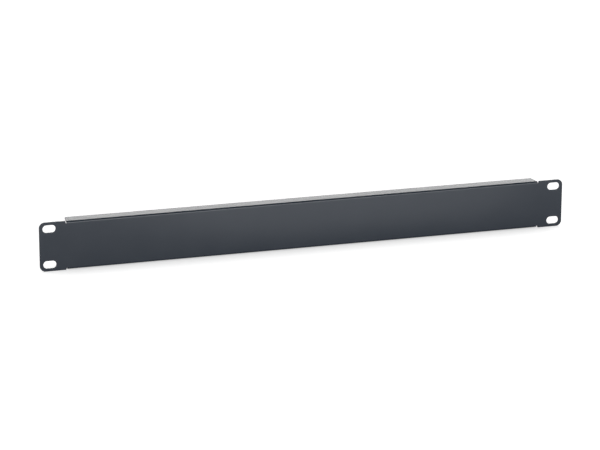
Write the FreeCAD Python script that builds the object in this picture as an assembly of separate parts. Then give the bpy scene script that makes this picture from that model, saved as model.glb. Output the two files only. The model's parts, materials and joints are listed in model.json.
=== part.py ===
# Rack blanking panel, one rack unit high: a single folded steel sheet.
#
# A flat face plate with two ears, and a long flange folded back along its top and bottom
# edges between the ears. Millimetres. The origin is the centre of the slot pattern, on the
# rear faces of the ears, which seat on the rack's rails. +X runs to the right as seen from
# the front, +Y goes into the rack, and +Z is up.

import FreeCAD, Part
import math
import os

# Driving dimensions.
panel_width = 482.6  # over the ears: the 19 inch rack standard
panel_height = 43.6  # one rack unit of 44.45, less the gap to the next panel
sheet = 1.2  # steel sheet thickness, powder coat included
ear_corner_radius = 5.0
edge_roll = 0.2  # radius that the shears and the punch leave on the face side
burr_break = 0.1  # chamfer where the burr is knocked off, on the rear side

slot_inset_x = 8.75  # from the end of the panel to a slot's centre
slot_inset_z = 5.925  # from the top or bottom edge to a slot's centre
slot_length = 11.5
slot_height = 6.6

ear_width = 24.0  # from the end of the panel to the end of the fold
flange_inset = 0.45  # how far a flange's outer face lies inside the ear's edge
flange_depth = 13.8  # from the front face to a flange's rear edge
bend_radius = 0.4  # inside the fold
flange_taper = 1.4  # how much each flange end draws in by its rear edge
taper_start = 0.8  # from the fold to where the taper begins
taper_blend_radius = 6.0  # where a flange end turns from square to tapered
flange_corner_radius = 1.0

relief_mouth = 1.1  # width of the bend relief where it opens at the ear's edge
relief_root_radius = 0.25
relief_lip_radius = 0.3  # where the relief meets the ear's edge

# Places worked out from them.
half_width = panel_width / 2
half_height = panel_height / 2
fold_end = half_width - ear_width
front = -sheet
rear_edge = front + flange_depth
outer_bend = bend_radius + sheet
flange_out = half_height - flange_inset
flange_in = flange_out - sheet
bend_line = flange_out - outer_bend


def vec(x, y, z):
    return FreeCAD.Vector(x, y, z)


def line(a, b):
    return Part.LineSegment(a, b).toShape()


def arc(a, middle, b):
    return Part.Arc(a, middle, b).toShape()


def round_corner(before, corner, after, radius):
    """The tangent arc that rounds a corner of an outline, as (start, middle, end)."""
    to_before = (before - corner).normalize()
    to_after = (after - corner).normalize()
    half_angle = to_before.getAngle(to_after) / 2
    reach = radius / math.tan(half_angle)
    inward = (to_before + to_after).normalize()
    centre = corner + inward * (radius / math.sin(half_angle))
    return corner + to_before * reach, centre - inward * radius, corner + to_after * reach


def rounded_outline(corners):
    """A closed wire through (point, radius) corners, joined by straight lines."""
    points = [point for point, _ in corners]
    arcs = []
    for i, (point, radius) in enumerate(corners):
        following = points[(i + 1) % len(points)]
        if radius:
            arcs.append(round_corner(points[i - 1], point, following, radius))
        else:
            arcs.append((point, point, point))
    edges = []
    for i, (start, middle, end) in enumerate(arcs):
        if start != end:
            edges.append(arc(start, middle, end))
        edges.append(line(end, arcs[(i + 1) % len(arcs)][0]))
    return Part.Wire(edges)


def relief_edges():
    """The bend relief at one end of the top fold, from the fold's end to the ear's edge.

    A round root sits just below the bend line. Its flank leans outward, tangent to the
    root, and a small lip turns it into the ear's top edge.
    """
    root = vec(fold_end + relief_root_radius, front, bend_line)
    mouth = vec(fold_end + relief_mouth, front, half_height)
    reach = mouth - root
    lean = math.acos(relief_root_radius / reach.Length) - math.atan2(reach.z, reach.x)
    leave = root + vec(math.cos(lean), 0, -math.sin(lean)) * relief_root_radius
    deepest = root - vec(0, 0, relief_root_radius)
    along_edge = vec(half_width, front, half_height)
    lip_start, lip_middle, lip_end = round_corner(leave, mouth, along_edge, relief_lip_radius)
    edges = [
        arc(vec(fold_end, front, bend_line), deepest, leave),
        line(leave, lip_start),
        arc(lip_start, lip_middle, lip_end),
    ]
    return edges, lip_end


def face_plate():
    """The flat front of the panel, ears included, up to the two bend lines."""
    edges, edge_start = relief_edges()
    corner = vec(half_width, front, half_height)
    end_middle = vec(half_width, front, 0)
    start, middle, end = round_corner(edge_start, corner, end_middle, ear_corner_radius)
    edges.append(line(vec(0, front, bend_line), vec(fold_end, front, bend_line)))
    edges.append(line(edge_start, start))
    edges.append(arc(start, middle, end))
    edges.append(line(end, end_middle))
    quarter = Part.Compound(edges)
    origin = vec(0, 0, 0)
    right = Part.Compound([quarter, quarter.mirror(origin, vec(0, 0, 1))])
    whole = Part.Compound([right, right.mirror(origin, vec(1, 0, 0))])
    outline = Part.Wire(Part.__sortEdges__(whole.Edges))
    return Part.Face(outline).extrude(vec(0, sheet, 0))


def channel_section():
    """The folded section between the ears, as a face across the panel.

    Its flanges run past the rear edge, where the plan trims them.
    """
    x = -fold_end
    far = rear_edge + sheet
    turn = math.sqrt(0.5)

    def bend(radius, side):
        return vec(x, bend_radius - radius * turn, side * (bend_line + radius * turn))

    outside = [
        line(vec(x, far, flange_out), vec(x, bend_radius, flange_out)),
        arc(vec(x, bend_radius, flange_out), bend(outer_bend, 1), vec(x, front, bend_line)),
        line(vec(x, front, bend_line), vec(x, front, -bend_line)),
        arc(vec(x, front, -bend_line), bend(outer_bend, -1), vec(x, bend_radius, -flange_out)),
        line(vec(x, bend_radius, -flange_out), vec(x, far, -flange_out)),
        line(vec(x, far, -flange_out), vec(x, far, -flange_in)),
    ]
    inside = [
        line(vec(x, far, -flange_in), vec(x, bend_radius, -flange_in)),
        arc(vec(x, bend_radius, -flange_in), bend(bend_radius, -1), vec(x, 0, -bend_line)),
        line(vec(x, 0, -bend_line), vec(x, 0, bend_line)),
        arc(vec(x, 0, bend_line), bend(bend_radius, 1), vec(x, bend_radius, flange_in)),
        line(vec(x, bend_radius, flange_in), vec(x, far, flange_in)),
        line(vec(x, far, flange_in), vec(x, far, flange_out)),
    ]
    return Part.Face(Part.Wire(outside + inside))


def flange_plan():
    """The folded part's outline from above: square at the fold, then drawn in to the rear."""
    z = -half_height
    drawn_in = fold_end - flange_taper
    ahead = front - sheet
    behind = bend_radius + taper_start
    corners = [
        (vec(-fold_end, ahead, z), 0),
        (vec(fold_end, ahead, z), 0),
        (vec(fold_end, behind, z), taper_blend_radius),
        (vec(drawn_in, rear_edge, z), flange_corner_radius),
        (vec(-drawn_in, rear_edge, z), flange_corner_radius),
        (vec(-fold_end, behind, z), taper_blend_radius),
    ]
    return Part.Face(rounded_outline(corners)).extrude(vec(0, 0, panel_height))


def folded_channel():
    """The web with both folds and flanges, trimmed to plan."""
    channel = channel_section().extrude(vec(2 * fold_end, 0, 0))
    return channel.common(flange_plan())


def slot(x, z):
    """The cutter for one obround screw slot."""
    straight = (slot_length - slot_height) / 2
    radius = slot_height / 2
    y = front - sheet
    left = vec(x - straight, y, z)
    right = vec(x + straight, y, z)
    up = vec(0, 0, radius)
    along = vec(radius, 0, 0)
    edges = [
        line(left + up, right + up),
        arc(right + up, right + along, right - up),
        line(right - up, left - up),
        arc(left - up, left - along, left + up),
    ]
    return Part.Face(Part.Wire(edges)).extrude(vec(0, 3 * sheet, 0))


def cut_slots(solid):
    """The four screw slots, two in each ear."""
    for x in (-half_width + slot_inset_x, half_width - slot_inset_x):
        for z in (-half_height + slot_inset_z, half_height - slot_inset_z):
            solid = solid.cut(slot(x, z))
    return solid


def is_sharp(solid, edge):
    """Whether the two faces at an edge meet at an angle, rather than run on smoothly."""
    middle = edge.valueAt((edge.FirstParameter + edge.LastParameter) / 2)
    normals = []
    for face in solid.ancestorsOfType(edge, Part.Face):
        u, v = face.Surface.parameter(middle)
        normals.append(face.normalAt(u, v))
    return normals[0].getAngle(normals[1]) > math.radians(30)


def depth_in_sheet(point):
    """How far a point lies below the sheet's face side, which becomes the fold's outside."""
    height = abs(point.z)
    if height <= bend_line or abs(point.x) > fold_end + burr_break:
        return point.y - front
    if point.y < bend_radius:
        return outer_bend - math.hypot(point.y - bend_radius, height - bend_line)
    return flange_out - height


def finish_sheared_edges(solid):
    """Rolls over every sheared edge on the face side, and breaks it on the rear side."""
    face_side = []
    rear_side = []
    for edge in solid.Edges:
        if is_sharp(solid, edge):
            middle = edge.valueAt((edge.FirstParameter + edge.LastParameter) / 2)
            side = face_side if depth_in_sheet(middle) < sheet / 2 else rear_side
            side.append(edge)
    return solid.makeFillet(edge_roll, face_side).makeChamfer(burr_break, rear_side)


def blanking_panel():
    sheet_metal = face_plate().fuse(folded_channel()).removeSplitter()
    return finish_sheared_edges(cut_slots(sheet_metal))


os.makedirs("parts", exist_ok=True)
panel = blanking_panel().Solids[0]
panel.exportStep("parts/blanking_panel.step")
print("blanking_panel", round(panel.Volume), "mm3,", len(panel.Faces), "faces, valid", panel.isValid())
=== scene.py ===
# %% [markdown]
# # A rack blanking panel in graphite powder coat
#
# The real object is one steel sheet, cut flat, folded twice and powder coated. This lesson
# builds its looks the same way: it draws a quarter of the flat blank, gives it a rim, folds
# it with one formula, mirrors it into the whole sheet and coats it.
#
# The measured model comes in first, as a fixed frame. It says where everything is, so the
# sheet made here is drawn from its size and from the screw slots named in its record.

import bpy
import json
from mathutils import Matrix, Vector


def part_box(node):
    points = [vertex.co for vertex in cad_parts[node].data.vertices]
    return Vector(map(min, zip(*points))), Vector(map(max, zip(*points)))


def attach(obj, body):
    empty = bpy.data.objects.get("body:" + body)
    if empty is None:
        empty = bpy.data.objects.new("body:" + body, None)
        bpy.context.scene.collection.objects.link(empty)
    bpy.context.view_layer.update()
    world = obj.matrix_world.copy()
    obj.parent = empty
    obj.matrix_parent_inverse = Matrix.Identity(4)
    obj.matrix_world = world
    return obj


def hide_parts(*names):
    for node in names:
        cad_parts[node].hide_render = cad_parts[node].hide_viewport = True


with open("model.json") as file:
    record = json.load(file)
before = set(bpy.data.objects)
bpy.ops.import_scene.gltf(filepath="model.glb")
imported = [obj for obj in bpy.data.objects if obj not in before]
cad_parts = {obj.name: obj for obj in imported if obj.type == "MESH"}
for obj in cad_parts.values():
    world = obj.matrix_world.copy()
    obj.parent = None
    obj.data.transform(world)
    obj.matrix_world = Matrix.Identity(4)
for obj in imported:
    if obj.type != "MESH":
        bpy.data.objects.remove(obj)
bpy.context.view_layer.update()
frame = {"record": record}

import json
import math

import bmesh
import bpy
import numpy as np
from mathutils import Matrix, Vector

MM = 0.001
NODE = "blanking_panel"
low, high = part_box(NODE)
slots = next(m for m in frame["record"]["mounts"] if m["kind"] == "bolt_pattern")
print("frame", [round(side / MM, 2) for side in high - low], "mm over all")

# %% [markdown]
# ## Sizes
#
# What the frame can say is read from it. The ears' rear faces lie at y = 0, so the front
# face's distance in front of them is the sheet's thickness. The rest are the sizes a sheet
# metal worker would be given: the bends, the tapered flange ends, the relief cut beside
# each bend, and how far the shears roll an edge over.

# %% Sizes of the sheet, in metres
HALF_WIDTH = high.x
HALF_HEIGHT = high.z
SHEET = -low.y
REAR_EDGE = high.y
SLOT_X = slots["dims"]["spacing_x_mm"] * MM / 2
SLOT_Z = slots["dims"]["spacing_y_mm"] * MM / 2
SLOT_RADIUS = slots["dims"]["hole_r_mm"] * MM
SLOT_STRAIGHT = slots["dims"]["slot_length_mm"] * MM / 2 - SLOT_RADIUS

EAR_CORNER_RADIUS = 5.0 * MM
EAR_WIDTH = 24.0 * MM
FLANGE_INSET = 0.45 * MM
BEND_RADIUS = 0.4 * MM
FLANGE_TAPER = 1.4 * MM
TAPER_START = 0.8 * MM
TAPER_BLEND_RADIUS = 6.0 * MM
FLANGE_CORNER_RADIUS = 1.0 * MM
RELIEF_MOUTH = 1.1 * MM
RELIEF_ROOT_RADIUS = 0.25 * MM
RELIEF_LIP_RADIUS = 0.3 * MM
EDGE_ROLL = 0.2 * MM
BURR_BREAK = 0.1 * MM

FOLD_END = HALF_WIDTH - EAR_WIDTH
OUTER_BEND = BEND_RADIUS + SHEET
BEND_LINE = HALF_HEIGHT - FLANGE_INSET - OUTER_BEND
print("sheet", round(SHEET / MM, 2), "mm, bend line at", round(BEND_LINE / MM, 2), "mm up")

# %% [markdown]
# ## The fold as a formula
#
# A point of the sheet has three flat coordinates: x along the panel, s up the blank from
# its middle, and d, the depth below the face side. Folding leaves x alone. Up to the bend
# line the sheet stays flat. Past it, s turns into an angle about the bend's axis, and after
# a quarter turn the rest of s runs straight back. Every skin, rim and slot wall below goes
# through this one function, so the thickness is true all the way round the bend.

# %% Fold flat coordinates into the sheet
BEND_LENGTH = (BEND_RADIUS + SHEET / 2) * math.pi / 2
FLANGE_START = BEND_LINE + BEND_LENGTH
FLANGE_EDGE = FLANGE_START + REAR_EDGE - BEND_RADIUS


def fold(x, s, d):
    """The folded place of flat coordinates, as an array of points.

    With a the angle turned, which grows from 0 to a quarter turn over the bend, and r the
    outer radius less d: y = bend_radius - r cos(a) + run, z = bend_line + r sin(a), where
    run is how far s goes past the bend. Below the bend line z is s itself. Ears never fold,
    because there the blank stops at their top edge.
    """
    turned = np.clip((s - BEND_LINE) / BEND_LENGTH, 0, 1) * math.pi / 2
    folds = x < FOLD_END + BURR_BREAK
    turned = np.where(folds, turned, 0)
    radius = OUTER_BEND - d
    run = np.where(folds, np.maximum(s - FLANGE_START, 0), 0)
    y = BEND_RADIUS - radius * np.cos(turned) + run
    z = np.where(turned > 0, BEND_LINE + radius * np.sin(turned), s)
    return np.stack([x, y, z], axis=-1)


print("flat blank is", round(2 * FLANGE_EDGE / MM, 2), "mm high before folding")

# %% [markdown]
# ## The blank's outline
#
# A punched outline is straight lines with rounded corners, so it is written as corners and
# radii. The sheet is the same left and right, and top and bottom, so one quarter is enough:
# from the middle of the flange's rear edge, round its corner, down its tapered end and
# through the bend, into the relief, up over the ear and down to the ear's middle.

# %% Draw an outline with rounded corners
ARC_STEP = math.radians(6)


def rounded_path(corners):
    """Points along an outline, the direction into the sheet at each, and where runs end.

    corners holds (x, s, radius, steps): steps is how many parts the straight run before
    that corner is cut into. A rounded corner is an arc that touches both edges: its centre
    lies a radius away from where the run ends, and it sweeps the angle that the way turns.
    The sheet lies to the right of the way.
    """
    places = np.array([corner[:2] for corner in corners])
    ways = np.diff(places, axis=0)
    ways /= np.linalg.norm(ways, axis=1, keepdims=True)
    inward = np.stack([ways[:, 1], -ways[:, 0]], axis=1)
    points, normals = [places[:1]], [inward[:1]]
    run_ends = []
    for i, (x, s, radius, steps) in enumerate(corners[1:]):
        along = ways[i]
        turn = 0.0
        if i + 1 < len(ways):
            after = ways[i + 1]
            turn = math.atan2(along[0] * after[1] - along[1] * after[0], along @ after)
        start = points[-1][-1]
        end = places[i + 1] - along * radius * math.tan(abs(turn) / 2)
        share = np.arange(1, steps + 1)[:, None] / steps
        points.append(start + (end - start) * share)
        normals.append(np.repeat(inward[i : i + 1], steps, axis=0))
        run_ends.append(sum(map(len, points)) - 1)
        if radius:
            toward_centre = -math.copysign(radius, turn)
            count = max(4, math.ceil(abs(turn) / ARC_STEP))
            angles = turn * np.arange(1, count + 1)[:, None] / count
            crosswise = np.array([-inward[i][1], inward[i][0]])
            spun = inward[i] * np.cos(angles) + crosswise * np.sin(angles)
            points.append(end + (inward[i] - spun) * toward_centre)
            normals.append(spun)
    return np.concatenate(points), np.concatenate(normals), run_ends


# %% The quarter blank's outline
BEND_STEPS = 14
SIDE_STEP = 0.6 * MM
EAR_PATCH = FOLD_END + RELIEF_MOUTH + 1.0 * MM

taper_corner = FLANGE_START + TAPER_START

# The relief's flank passes through its mouth and touches its root's circle, so its lean
# from the vertical follows from how far apart they are. The two edges meet at the apex.
across, up = RELIEF_MOUTH - RELIEF_ROOT_RADIUS, HALF_HEIGHT - BEND_LINE
lean = math.acos(RELIEF_ROOT_RADIUS / math.hypot(across, up)) - math.atan2(up, across)
relief_apex = BEND_LINE - RELIEF_ROOT_RADIUS / math.tan(lean / 2)


def side_steps(length):
    return math.ceil(length / SIDE_STEP)


path, inward, run_ends = rounded_path(
    [
        (0, FLANGE_EDGE, 0, 1),
        (FOLD_END - FLANGE_TAPER, FLANGE_EDGE, FLANGE_CORNER_RADIUS, 1),
        (FOLD_END, taper_corner, TAPER_BLEND_RADIUS, 4),
        (FOLD_END, relief_apex, RELIEF_ROOT_RADIUS, BEND_STEPS),
        (FOLD_END + RELIEF_MOUTH, HALF_HEIGHT, RELIEF_LIP_RADIUS, 2),
        (EAR_PATCH, HALF_HEIGHT, 0, 2),
        (HALF_WIDTH, HALF_HEIGHT, EAR_CORNER_RADIUS, side_steps(HALF_WIDTH - EAR_PATCH)),
        (HALF_WIDTH, 0, 0, side_steps(HALF_HEIGHT)),
    ]
)
corner_start, _, root_start, _, patch_start, _, _ = run_ends
print("outline:", len(path), "points; the relief leans", round(math.degrees(lean), 1), "degrees")

# %% [markdown]
# ## Three patches of skin
#
# A grid can't have a hole or a notch in it, so the quarter blank is three grids that share
# their borders: the web with the flange, which gets narrower row by row towards the rear;
# the strip beside the relief, whose columns stop at the notch; and the ear, a ring of quads
# from the slot out to the ear's edge. Each skin stops short of the outline by an inset, to
# leave room for the rounded rim, and each has a narrow guard row beside it. Smooth shading
# averages the slope at a border, and the guard keeps that average off the flat face.

# %% Rows, columns and the guard
GUARD = 0.3 * MM
WEB_COLUMNS = 12
WEB_ROWS = 22
ROWS = np.append(np.linspace(0, 1 - GUARD / HALF_HEIGHT, WEB_ROWS), 1)
RINGS = np.array([0, 0.07, 0.25, 0.5, 0.75, 0.93, 1])


def spread(ends):
    """Columns from the panel's middle to each end, evenly, then one guard column."""
    even = np.linspace(0, 1, WEB_COLUMNS + 1)
    return np.concatenate([(ends - GUARD)[..., None] * even, ends[..., None]], axis=-1)


rear_x = spread(path[corner_start : corner_start + 1, 0])[0]
rear = np.stack([rear_x, np.full_like(rear_x, FLANGE_EDGE)], axis=1)
outline = np.concatenate([rear, path[corner_start + 1 :]])
into_sheet = np.concatenate([np.tile(inward[0], (len(rear), 1)), inward[corner_start + 1 :]])
added = len(rear) - 1 - corner_start
root_start, patch_start = root_start + added, patch_start + added
rear_end = len(rear) - 1


def slot_edge(angles):
    """The slot's edge seen from its centre at these angles, and the way into the sheet.

    A ray meets the straight side where its height is the slot's radius, if that is before
    the side ends. If not, it meets the end's circle, whose centre is half the straight
    length out: the distance is c a + sqrt(R squared - (a s) squared).
    """
    c, s = np.cos(angles), np.sin(angles)
    side = SLOT_RADIUS / np.maximum(np.abs(s), 1e-9)
    on_side = side * np.abs(c) <= SLOT_STRAIGHT
    round_end = SLOT_STRAIGHT * np.abs(c) + np.sqrt(SLOT_RADIUS**2 - (SLOT_STRAIGHT * s) ** 2)
    reach = np.where(on_side, side, round_end)
    edge = np.stack([reach * c, reach * s], axis=1)
    core = np.stack([np.clip(edge[:, 0], -SLOT_STRAIGHT, SLOT_STRAIGHT), 0 * s], axis=1)
    return edge + [SLOT_X, SLOT_Z], (edge - core) / SLOT_RADIUS


def ear_loop(edge):
    """The closed border of the ear's ring: its free edge, then back along both seams."""
    free = edge[patch_start:]
    steps = side_steps(HALF_WIDTH - EAR_PATCH)
    back = np.linspace(free[-1], [free[0, 0], 0], steps, endpoint=False)[1:]
    seam = np.stack([np.full(WEB_ROWS + 1, free[0, 0]), ROWS * free[0, 1]], axis=1)
    return np.concatenate([free, back, seam[:-1]])


ear_angles = np.arctan2(*(ear_loop(outline) - [SLOT_X, SLOT_Z]).T[::-1])
slot_outline, slot_inward = slot_edge(ear_angles)
print("slot edge:", len(slot_outline), "points")


# %% The skins
def web_patch(edge):
    """Rows from the middle up the web, round the bend and out along the flange."""
    flange = edge[rear_end : root_start + 1][::-1]
    web = np.stack([np.full(WEB_ROWS, flange[0, 0]), ROWS[:-1] * flange[0, 1]], axis=1)
    ends = np.concatenate([web, flange])
    x = spread(ends[:, 0])
    return x, np.broadcast_to(ends[:, 1:], x.shape)


def relief_patch(edge):
    """Columns under the relief and its lip, each stretched to where the sheet stops."""
    tops = edge[root_start : patch_start + 1]
    s = tops[:, 1:] * ROWS
    return np.broadcast_to(tops[:, :1], s.shape), s


def ear_patch(edge, inset):
    """Rings that blend from the slot's edge out to the ear's border."""
    inner = slot_outline + slot_inward * inset
    outer = ear_loop(edge)
    ring = inner[:, None] + (outer - inner)[:, None] * RINGS[:, None]
    return ring[..., 0], ring[..., 1]


def skins(inset, depth):
    """The three patches at one depth of the sheet, folded, with whether each is a ring."""
    edge = outline + into_sheet * inset
    flat = [(*web_patch(edge), False), (*relief_patch(edge), False), (*ear_patch(edge, inset), True)]
    return [(fold(x, s, depth), ring) for x, s, ring in flat]


# %% [markdown]
# ## The rim
#
# Shears and punches press the face side's edge round before they cut, and leave a burr at
# the back that is knocked off. That is a profile: a quarter circle, the cut wall, a small
# chamfer. Carrying it along the outline and round the slot closes the sheet.

# %% Carry the edge's profile along a path
ROLL_STEPS = 5


def rim(edge, into):
    """The sheared edge as a grid: each path point moved inward by i at depth d.

    Over the roll, with a from 0 to a quarter turn: i = roll (1 - sin a), d = roll (1 -
    cos a). Then the wall at i = 0, and the chamfer from depth t - c to i = c, d = t.
    """
    a = np.linspace(0, math.pi / 2, ROLL_STEPS + 1)
    inset = np.concatenate([EDGE_ROLL * (1 - np.sin(a)), [0, BURR_BREAK]])
    depth = np.concatenate([EDGE_ROLL * (1 - np.cos(a)), [SHEET - BURR_BREAK, SHEET]])
    x = edge[:, :1] + into[:, :1] * inset
    s = edge[:, 1:] + into[:, 1:] * inset
    return fold(x, s, np.broadcast_to(depth, x.shape))


quarter = skins(EDGE_ROLL, 0.0) + skins(BURR_BREAK, SHEET)
quarter.append((rim(outline, into_sheet), False))
quarter.append((rim(slot_outline, slot_inward), True))
print("a quarter is", len(quarter), "grids,", sum(g.shape[0] * g.shape[1] for g, _ in quarter), "points")


# %% [markdown]
# ## From a quarter to the whole sheet
#
# Mirroring left to right and top to bottom is a change of sign. The grids meet point for
# point, so merging doubles closes every seam, and the normals are then worked out again,
# because a mirrored grid is inside out.

# %% Weld the mirrored quarters
def grid_faces(rows, columns, ring):
    """Quads between neighbours of a grid of points, the last row joined on for a ring."""
    index = np.arange(rows * columns).reshape(rows, columns)
    if ring:
        index = np.concatenate([index, index[:1]])
    corners = [index[:-1, :-1], index[:-1, 1:], index[1:, 1:], index[1:, :-1]]
    return np.stack(corners, axis=-1).reshape(-1, 4)


def sheet_mesh(name, grids):
    """One closed, smooth mesh from grids of a quarter and their three mirror images."""
    points, faces, count = [], [], 0
    for grid, ring in grids:
        for sign in ((1, 1, 1), (-1, 1, 1), (1, 1, -1), (-1, 1, -1)):
            points.append((grid * sign).reshape(-1, 3))
            faces.append(grid_faces(*grid.shape[:2], ring) + count)
            count += len(points[-1])
    mesh = bpy.data.meshes.new(name)
    mesh.from_pydata(np.concatenate(points), [], np.concatenate(faces))
    work = bmesh.new()
    work.from_mesh(mesh)
    bmesh.ops.remove_doubles(work, verts=work.verts, dist=MM / 1000)
    bmesh.ops.recalc_face_normals(work, faces=work.faces)
    open_edges = sum(not edge.is_manifold for edge in work.edges)
    print(name, len(work.faces), "faces, open edges:", open_edges)
    print("volume", round(work.calc_volume() / MM**3, 1), "cubic mm")
    work.to_mesh(mesh)
    work.free()
    mesh.shade_smooth()
    piece = bpy.data.objects.new(name, mesh)
    bpy.context.scene.collection.objects.link(piece)
    return piece


panel = sheet_mesh("coated_sheet", quarter)
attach(panel, "root")
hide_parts(NODE)

# %% [markdown]
# ## Powder coat
#
# Powder coat is one colour all the way through, melted into a film. It is satin, because
# its skin is very finely rough. Looked at closely it has orange peel, a soft unevenness
# about a millimetre across, and a finer grain on top of it. Both are noise in the bump, and
# a slower noise shifts the tone and the gloss slightly, as the film's thickness does.

# %% Shader arithmetic
class Wire:
    """One output socket of a material, which plain arithmetic turns into Math nodes."""

    def __init__(self, tree, socket=None):
        self.tree = tree
        self.socket = socket

    def node(self, kind, settings, inputs, output=0):
        """Adds a node: its settings first, then values or links for its sockets."""
        new = self.tree.nodes.new(kind)
        for name, value in settings.items():
            setattr(new, name, value)
        for name, value in inputs.items():
            if isinstance(value, Wire):
                self.tree.links.new(value.socket, new.inputs[name])
            else:
                new.inputs[name].default_value = value
        return Wire(self.tree, new.outputs[output])

    def math(self, operation, first, second):
        return self.node("ShaderNodeMath", {"operation": operation}, {0: first, 1: second})

    def __add__(self, other):
        return self.math("ADD", self, other)

    def __sub__(self, other):
        return self.math("SUBTRACT", self, other)

    def __rsub__(self, other):
        return self.math("SUBTRACT", other, self)

    def __mul__(self, other):
        return self.math("MULTIPLY", self, other)

    __radd__ = __add__
    __rmul__ = __mul__


def new_material(name):
    """An empty material with its output node, as (material, wire, output)."""
    material = bpy.data.materials.new(name)
    material.use_nodes = True
    material.node_tree.nodes.clear()
    output = material.node_tree.nodes.new("ShaderNodeOutputMaterial")
    return material, Wire(material.node_tree), output


# %% The coat
FILM_SIZE = 28 * MM
PEEL_SIZE = 1.1 * MM
GRAIN_SIZE = 0.22 * MM
PEEL_SHARE = 0.7
PEEL_HEIGHT = 0.02 * MM
THIN_FILM = (0.0155, 0.022, 0.0325, 1)
THICK_FILM = (0.0185, 0.025, 0.0365, 1)
GLOSSIEST = 0.305
GLOSS_SPREAD = 0.05


def powder_coat():
    """Graphite satin powder coat with orange peel and a fine grain."""
    material, wire, output = new_material("powder_coat")
    place = wire.node("ShaderNodeTexCoord", {}, {}, "Object")

    def noise(size, detail, rough=0.5):
        """Noise from 0 to 1 whose features are about size across, in metres."""
        settings = {"noise_dimensions": "3D"}
        inputs = {"Vector": place, "Scale": 1 / size, "Detail": detail, "Roughness": rough}
        return wire.node("ShaderNodeTexNoise", settings, inputs, "Fac")

    film = noise(FILM_SIZE, 2.0)
    peel = noise(PEEL_SIZE, 2.0)
    grain = noise(GRAIN_SIZE, 1.0)
    tone = wire.node(
        "ShaderNodeMix",
        {"data_type": "RGBA"},
        {"Factor": film, "A": THIN_FILM, "B": THICK_FILM},
        "Result",
    )
    height = peel * PEEL_SHARE + grain * (1 - PEEL_SHARE)
    bump = wire.node(
        "ShaderNodeBump", {}, {"Height": height, "Strength": 0.25, "Distance": PEEL_HEIGHT}, "Normal"
    )
    coat = wire.node(
        "ShaderNodeBsdfPrincipled",
        {},
        {"Base Color": tone, "Roughness": film * GLOSS_SPREAD + GLOSSIEST, "IOR": 1.5, "Normal": bump},
        "BSDF",
    )
    material.node_tree.links.new(coat.socket, output.inputs["Surface"])
    return material


panel.data.materials.append(powder_coat())
print("material:", panel.data.materials[0].name)

# %% [markdown]
# ## Camera
#
# A long lens from well back keeps the panel's sides almost parallel. The camera looks from
# the left and a little above at the panel standing on edge.

# %% Place the camera
CAMERA_TURN = math.radians(-17.948)
CAMERA_RISE = math.radians(15.994)
CAMERA_ROLL = math.radians(0.12)
CAMERA_DISTANCE = 2.3072
CAMERA_SIDEWAYS = -7.648 * MM
CAMERA_UPWARDS = -0.614 * MM
SENSOR = 36.0
LENS = 157.45

back = Vector(
    (
        math.sin(CAMERA_TURN) * math.cos(CAMERA_RISE),
        -math.cos(CAMERA_TURN) * math.cos(CAMERA_RISE),
        math.sin(CAMERA_RISE),
    )
)
level_right = Vector((math.cos(CAMERA_TURN), math.sin(CAMERA_TURN), 0))
level_up = back.cross(level_right)
right = level_right * math.cos(CAMERA_ROLL) + level_up * math.sin(CAMERA_ROLL)
up = level_up * math.cos(CAMERA_ROLL) - level_right * math.sin(CAMERA_ROLL)
eye = Vector((0, -SHEET, 0)) + right * CAMERA_SIDEWAYS + up * CAMERA_UPWARDS + back * CAMERA_DISTANCE

camera = bpy.data.objects.new("camera", bpy.data.cameras.new("camera"))
camera.data.sensor_width = SENSOR
camera.data.lens = LENS
camera.matrix_world = Matrix.Translation(eye) @ Matrix((right, up, back)).transposed().to_4x4()
bpy.context.scene.collection.objects.link(camera)
bpy.context.scene.camera = camera
print("camera at", [round(v, 3) for v in eye])

# %% [markdown]
# ## Floor, backdrop and light
#
# The studio is a white sweep. The floor is matt, and shines a little of its own for the
# camera only, so that it reads as pure white and still keeps the panel's soft shadow. That
# shine is weaker where something stands close by, which ambient occlusion measures, so the
# floor darkens gently along the panel's lower edge, a painted contact shade added to the
# real shadow. In the coat's reflection the floor shines too, as a painted pool of light that
# is left dark close in front of the panel and off its ends: a painted shadow, which the coat
# mirrors as painted shade low on its face and at its ends. The floor ends just short of the
# lamps, because past them it would be unlit and show as a grey band.

# %% The white floor
FLOOR_SIZE = 4.0
FLOOR_WHITE = 0.8
FLOOR_GLOW = 0.32
# OPEN_GLOW is dimmed by ambient occlusion within CONTACT_REACH: a painted contact shade along the
# panel's lower edge.
OPEN_GLOW = 0.47
CONTACT_REACH = 0.026
# The pool numbers paint a pool of light on the floor for the coat's reflections only, with a painted
# shadow close in front of the panel and off its ends.
PAINTED_POOL_GLOW = 0.88
POOL_START = 0.055
POOL_CENTRE = 0.07
POOL_REACH = 0.22
POOL_BOW = 0.13
POOL_LIMIT = 0.3
POOL_SOFTNESS = 0.04


def painted_light_pool(wire):
    """Where the floor shines in a reflection, from 0 to 1: a painted pool of light.

    It starts at a distance from the panel's face that grows towards the panel's ends, and
    the floor short of it is a painted shadow: start + bow ((x - centre) / reach) to the
    fourth, and never more than the limit, so that the panel has a white floor to mirror from
    every side. It fades in over the softness.
    """
    place = wire.node("ShaderNodeTexCoord", {}, {}, "Object")
    along = wire.node("ShaderNodeSeparateXYZ", {}, {"Vector": place}, "X")
    away = wire.node("ShaderNodeSeparateXYZ", {}, {"Vector": place}, "Y")
    x = (along - POOL_CENTRE) * (1 / POOL_REACH)
    squared = x * x
    start = wire.math("MINIMUM", squared * squared * POOL_BOW + POOL_START, POOL_LIMIT)
    share = (wire.math("ABSOLUTE", away, 0.0) - start) * (1 / POOL_SOFTNESS) + 0.5
    return wire.node("ShaderNodeClamp", {}, {"Value": share}, "Result")


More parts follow.
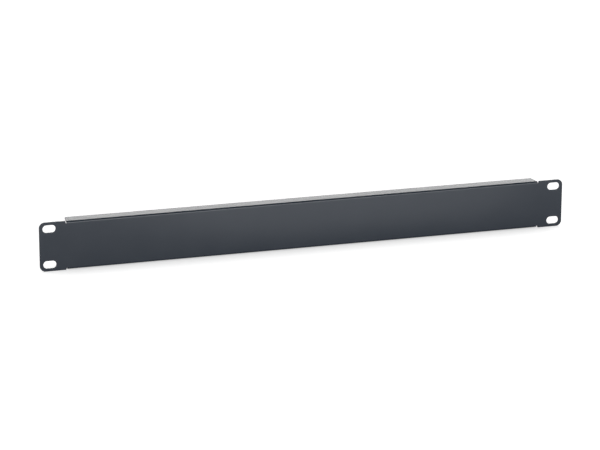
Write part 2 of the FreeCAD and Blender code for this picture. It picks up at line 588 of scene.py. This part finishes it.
def white_floor():
    """Matt white that also shines for the camera and, as a painted pool of light past a painted dark
    strip, in the coat.
    """
    material, wire, output = new_material("white_floor")
    white = (FLOOR_WHITE, FLOOR_WHITE, FLOOR_WHITE, 1)
    matt = wire.node("ShaderNodeBsdfDiffuse", {}, {"Color": white}, "BSDF")
    seen = wire.node("ShaderNodeLightPath", {}, {}, "Is Camera Ray")
    mirrored = wire.node("ShaderNodeLightPath", {}, {}, "Is Glossy Ray")
    # Ambient occlusion dims the camera's glow near the panel: painted contact shade.
    opened = wire.node("ShaderNodeAmbientOcclusion", {}, {"Distance": CONTACT_REACH}, "AO")
    # The glossy part of this shine is the painted pool of light, which the coat mirrors as painted shade
    # and sheen.
    shine = seen * (opened * OPEN_GLOW + FLOOR_GLOW) + mirrored * painted_light_pool(wire) * PAINTED_POOL_GLOW
    glow = wire.node("ShaderNodeEmission", {}, {"Color": shine, "Strength": 1.0}, "Emission")
    both = wire.node("ShaderNodeAddShader", {}, {0: matt, 1: glow}, "Shader")
    material.node_tree.links.new(both.socket, output.inputs["Surface"])
    return material


corner = FLOOR_SIZE / 2
floor_mesh = bpy.data.meshes.new("floor")
signs = [(-1, -1), (1, -1), (1, 1), (-1, 1)]
floor_mesh.from_pydata([(corner * x, corner * y, low.z) for x, y in signs], [], [(0, 1, 2, 3)])
floor = bpy.data.objects.new("floor", floor_mesh)
floor_mesh.materials.append(white_floor())
bpy.context.scene.collection.objects.link(floor)


# %% [markdown]
# ## World and lamps
#
# Dark satin coat shows what it mirrors more than how much light falls on it, so the lamps
# are placed by what each surface mirrors. A low strip in front draws the light line where
# the bend begins. Two strips behind, low and a little higher, make the flange's top read
# grey. Nothing hangs overhead, which leaves the dark line along the bend. Two soft squares
# at the sides light the ends and the back. The world is white to the camera and dim to the
# coat, as fill.

# %% The world and the lamps
WORLD_FILL = 0.12


def area_lamp(name, place, target, width, height, power):
    """A soft rectangular lamp at a place, facing a target point."""
    lamp = bpy.data.lights.new(name, "AREA")
    lamp.shape = "RECTANGLE"
    lamp.size = width
    lamp.size_y = height
    lamp.energy = power
    holder = bpy.data.objects.new(name, lamp)
    holder.location = place
    holder.rotation_euler = (Vector(target) - Vector(place)).to_track_quat("-Z", "Y").to_euler()
    holder.visible_camera = False
    bpy.context.scene.collection.objects.link(holder)
    return holder


area_lamp("back_strip", (0, 2.19, 0.211), (0, 0, 0), 3, 0.346, 18.44)
area_lamp("back_upper_strip", (0, 2.125, 0.569), (0, 0, 0), 3, 0.385, 10.45)
area_lamp("front_strip", (0, -2.176, 0.325), (0, 0, 0), 3, 0.501, 49.0)
area_lamp("left_fill", (-1.791, 0.652, 1.1), (0, 0, 0), 1.2, 1.2, 9.0)
area_lamp("right_fill", (1.791, 0.652, 1.1), (0, 0, 0), 1.2, 1.2, 9.0)

world = bpy.data.worlds.new("studio")
bpy.context.scene.world = world
world.use_nodes = True
world.node_tree.nodes.clear()
sky = Wire(world.node_tree)
seen = sky.node("ShaderNodeLightPath", {}, {}, "Is Camera Ray")
strength = seen * (1 - WORLD_FILL) + WORLD_FILL
backdrop = sky.node("ShaderNodeBackground", {}, {"Color": (1, 1, 1, 1), "Strength": strength})
world_output = world.node_tree.nodes.new("ShaderNodeOutputWorld")
world.node_tree.links.new(backdrop.socket, world_output.inputs["Surface"])
bpy.context.scene.view_settings.view_transform = "Standard"
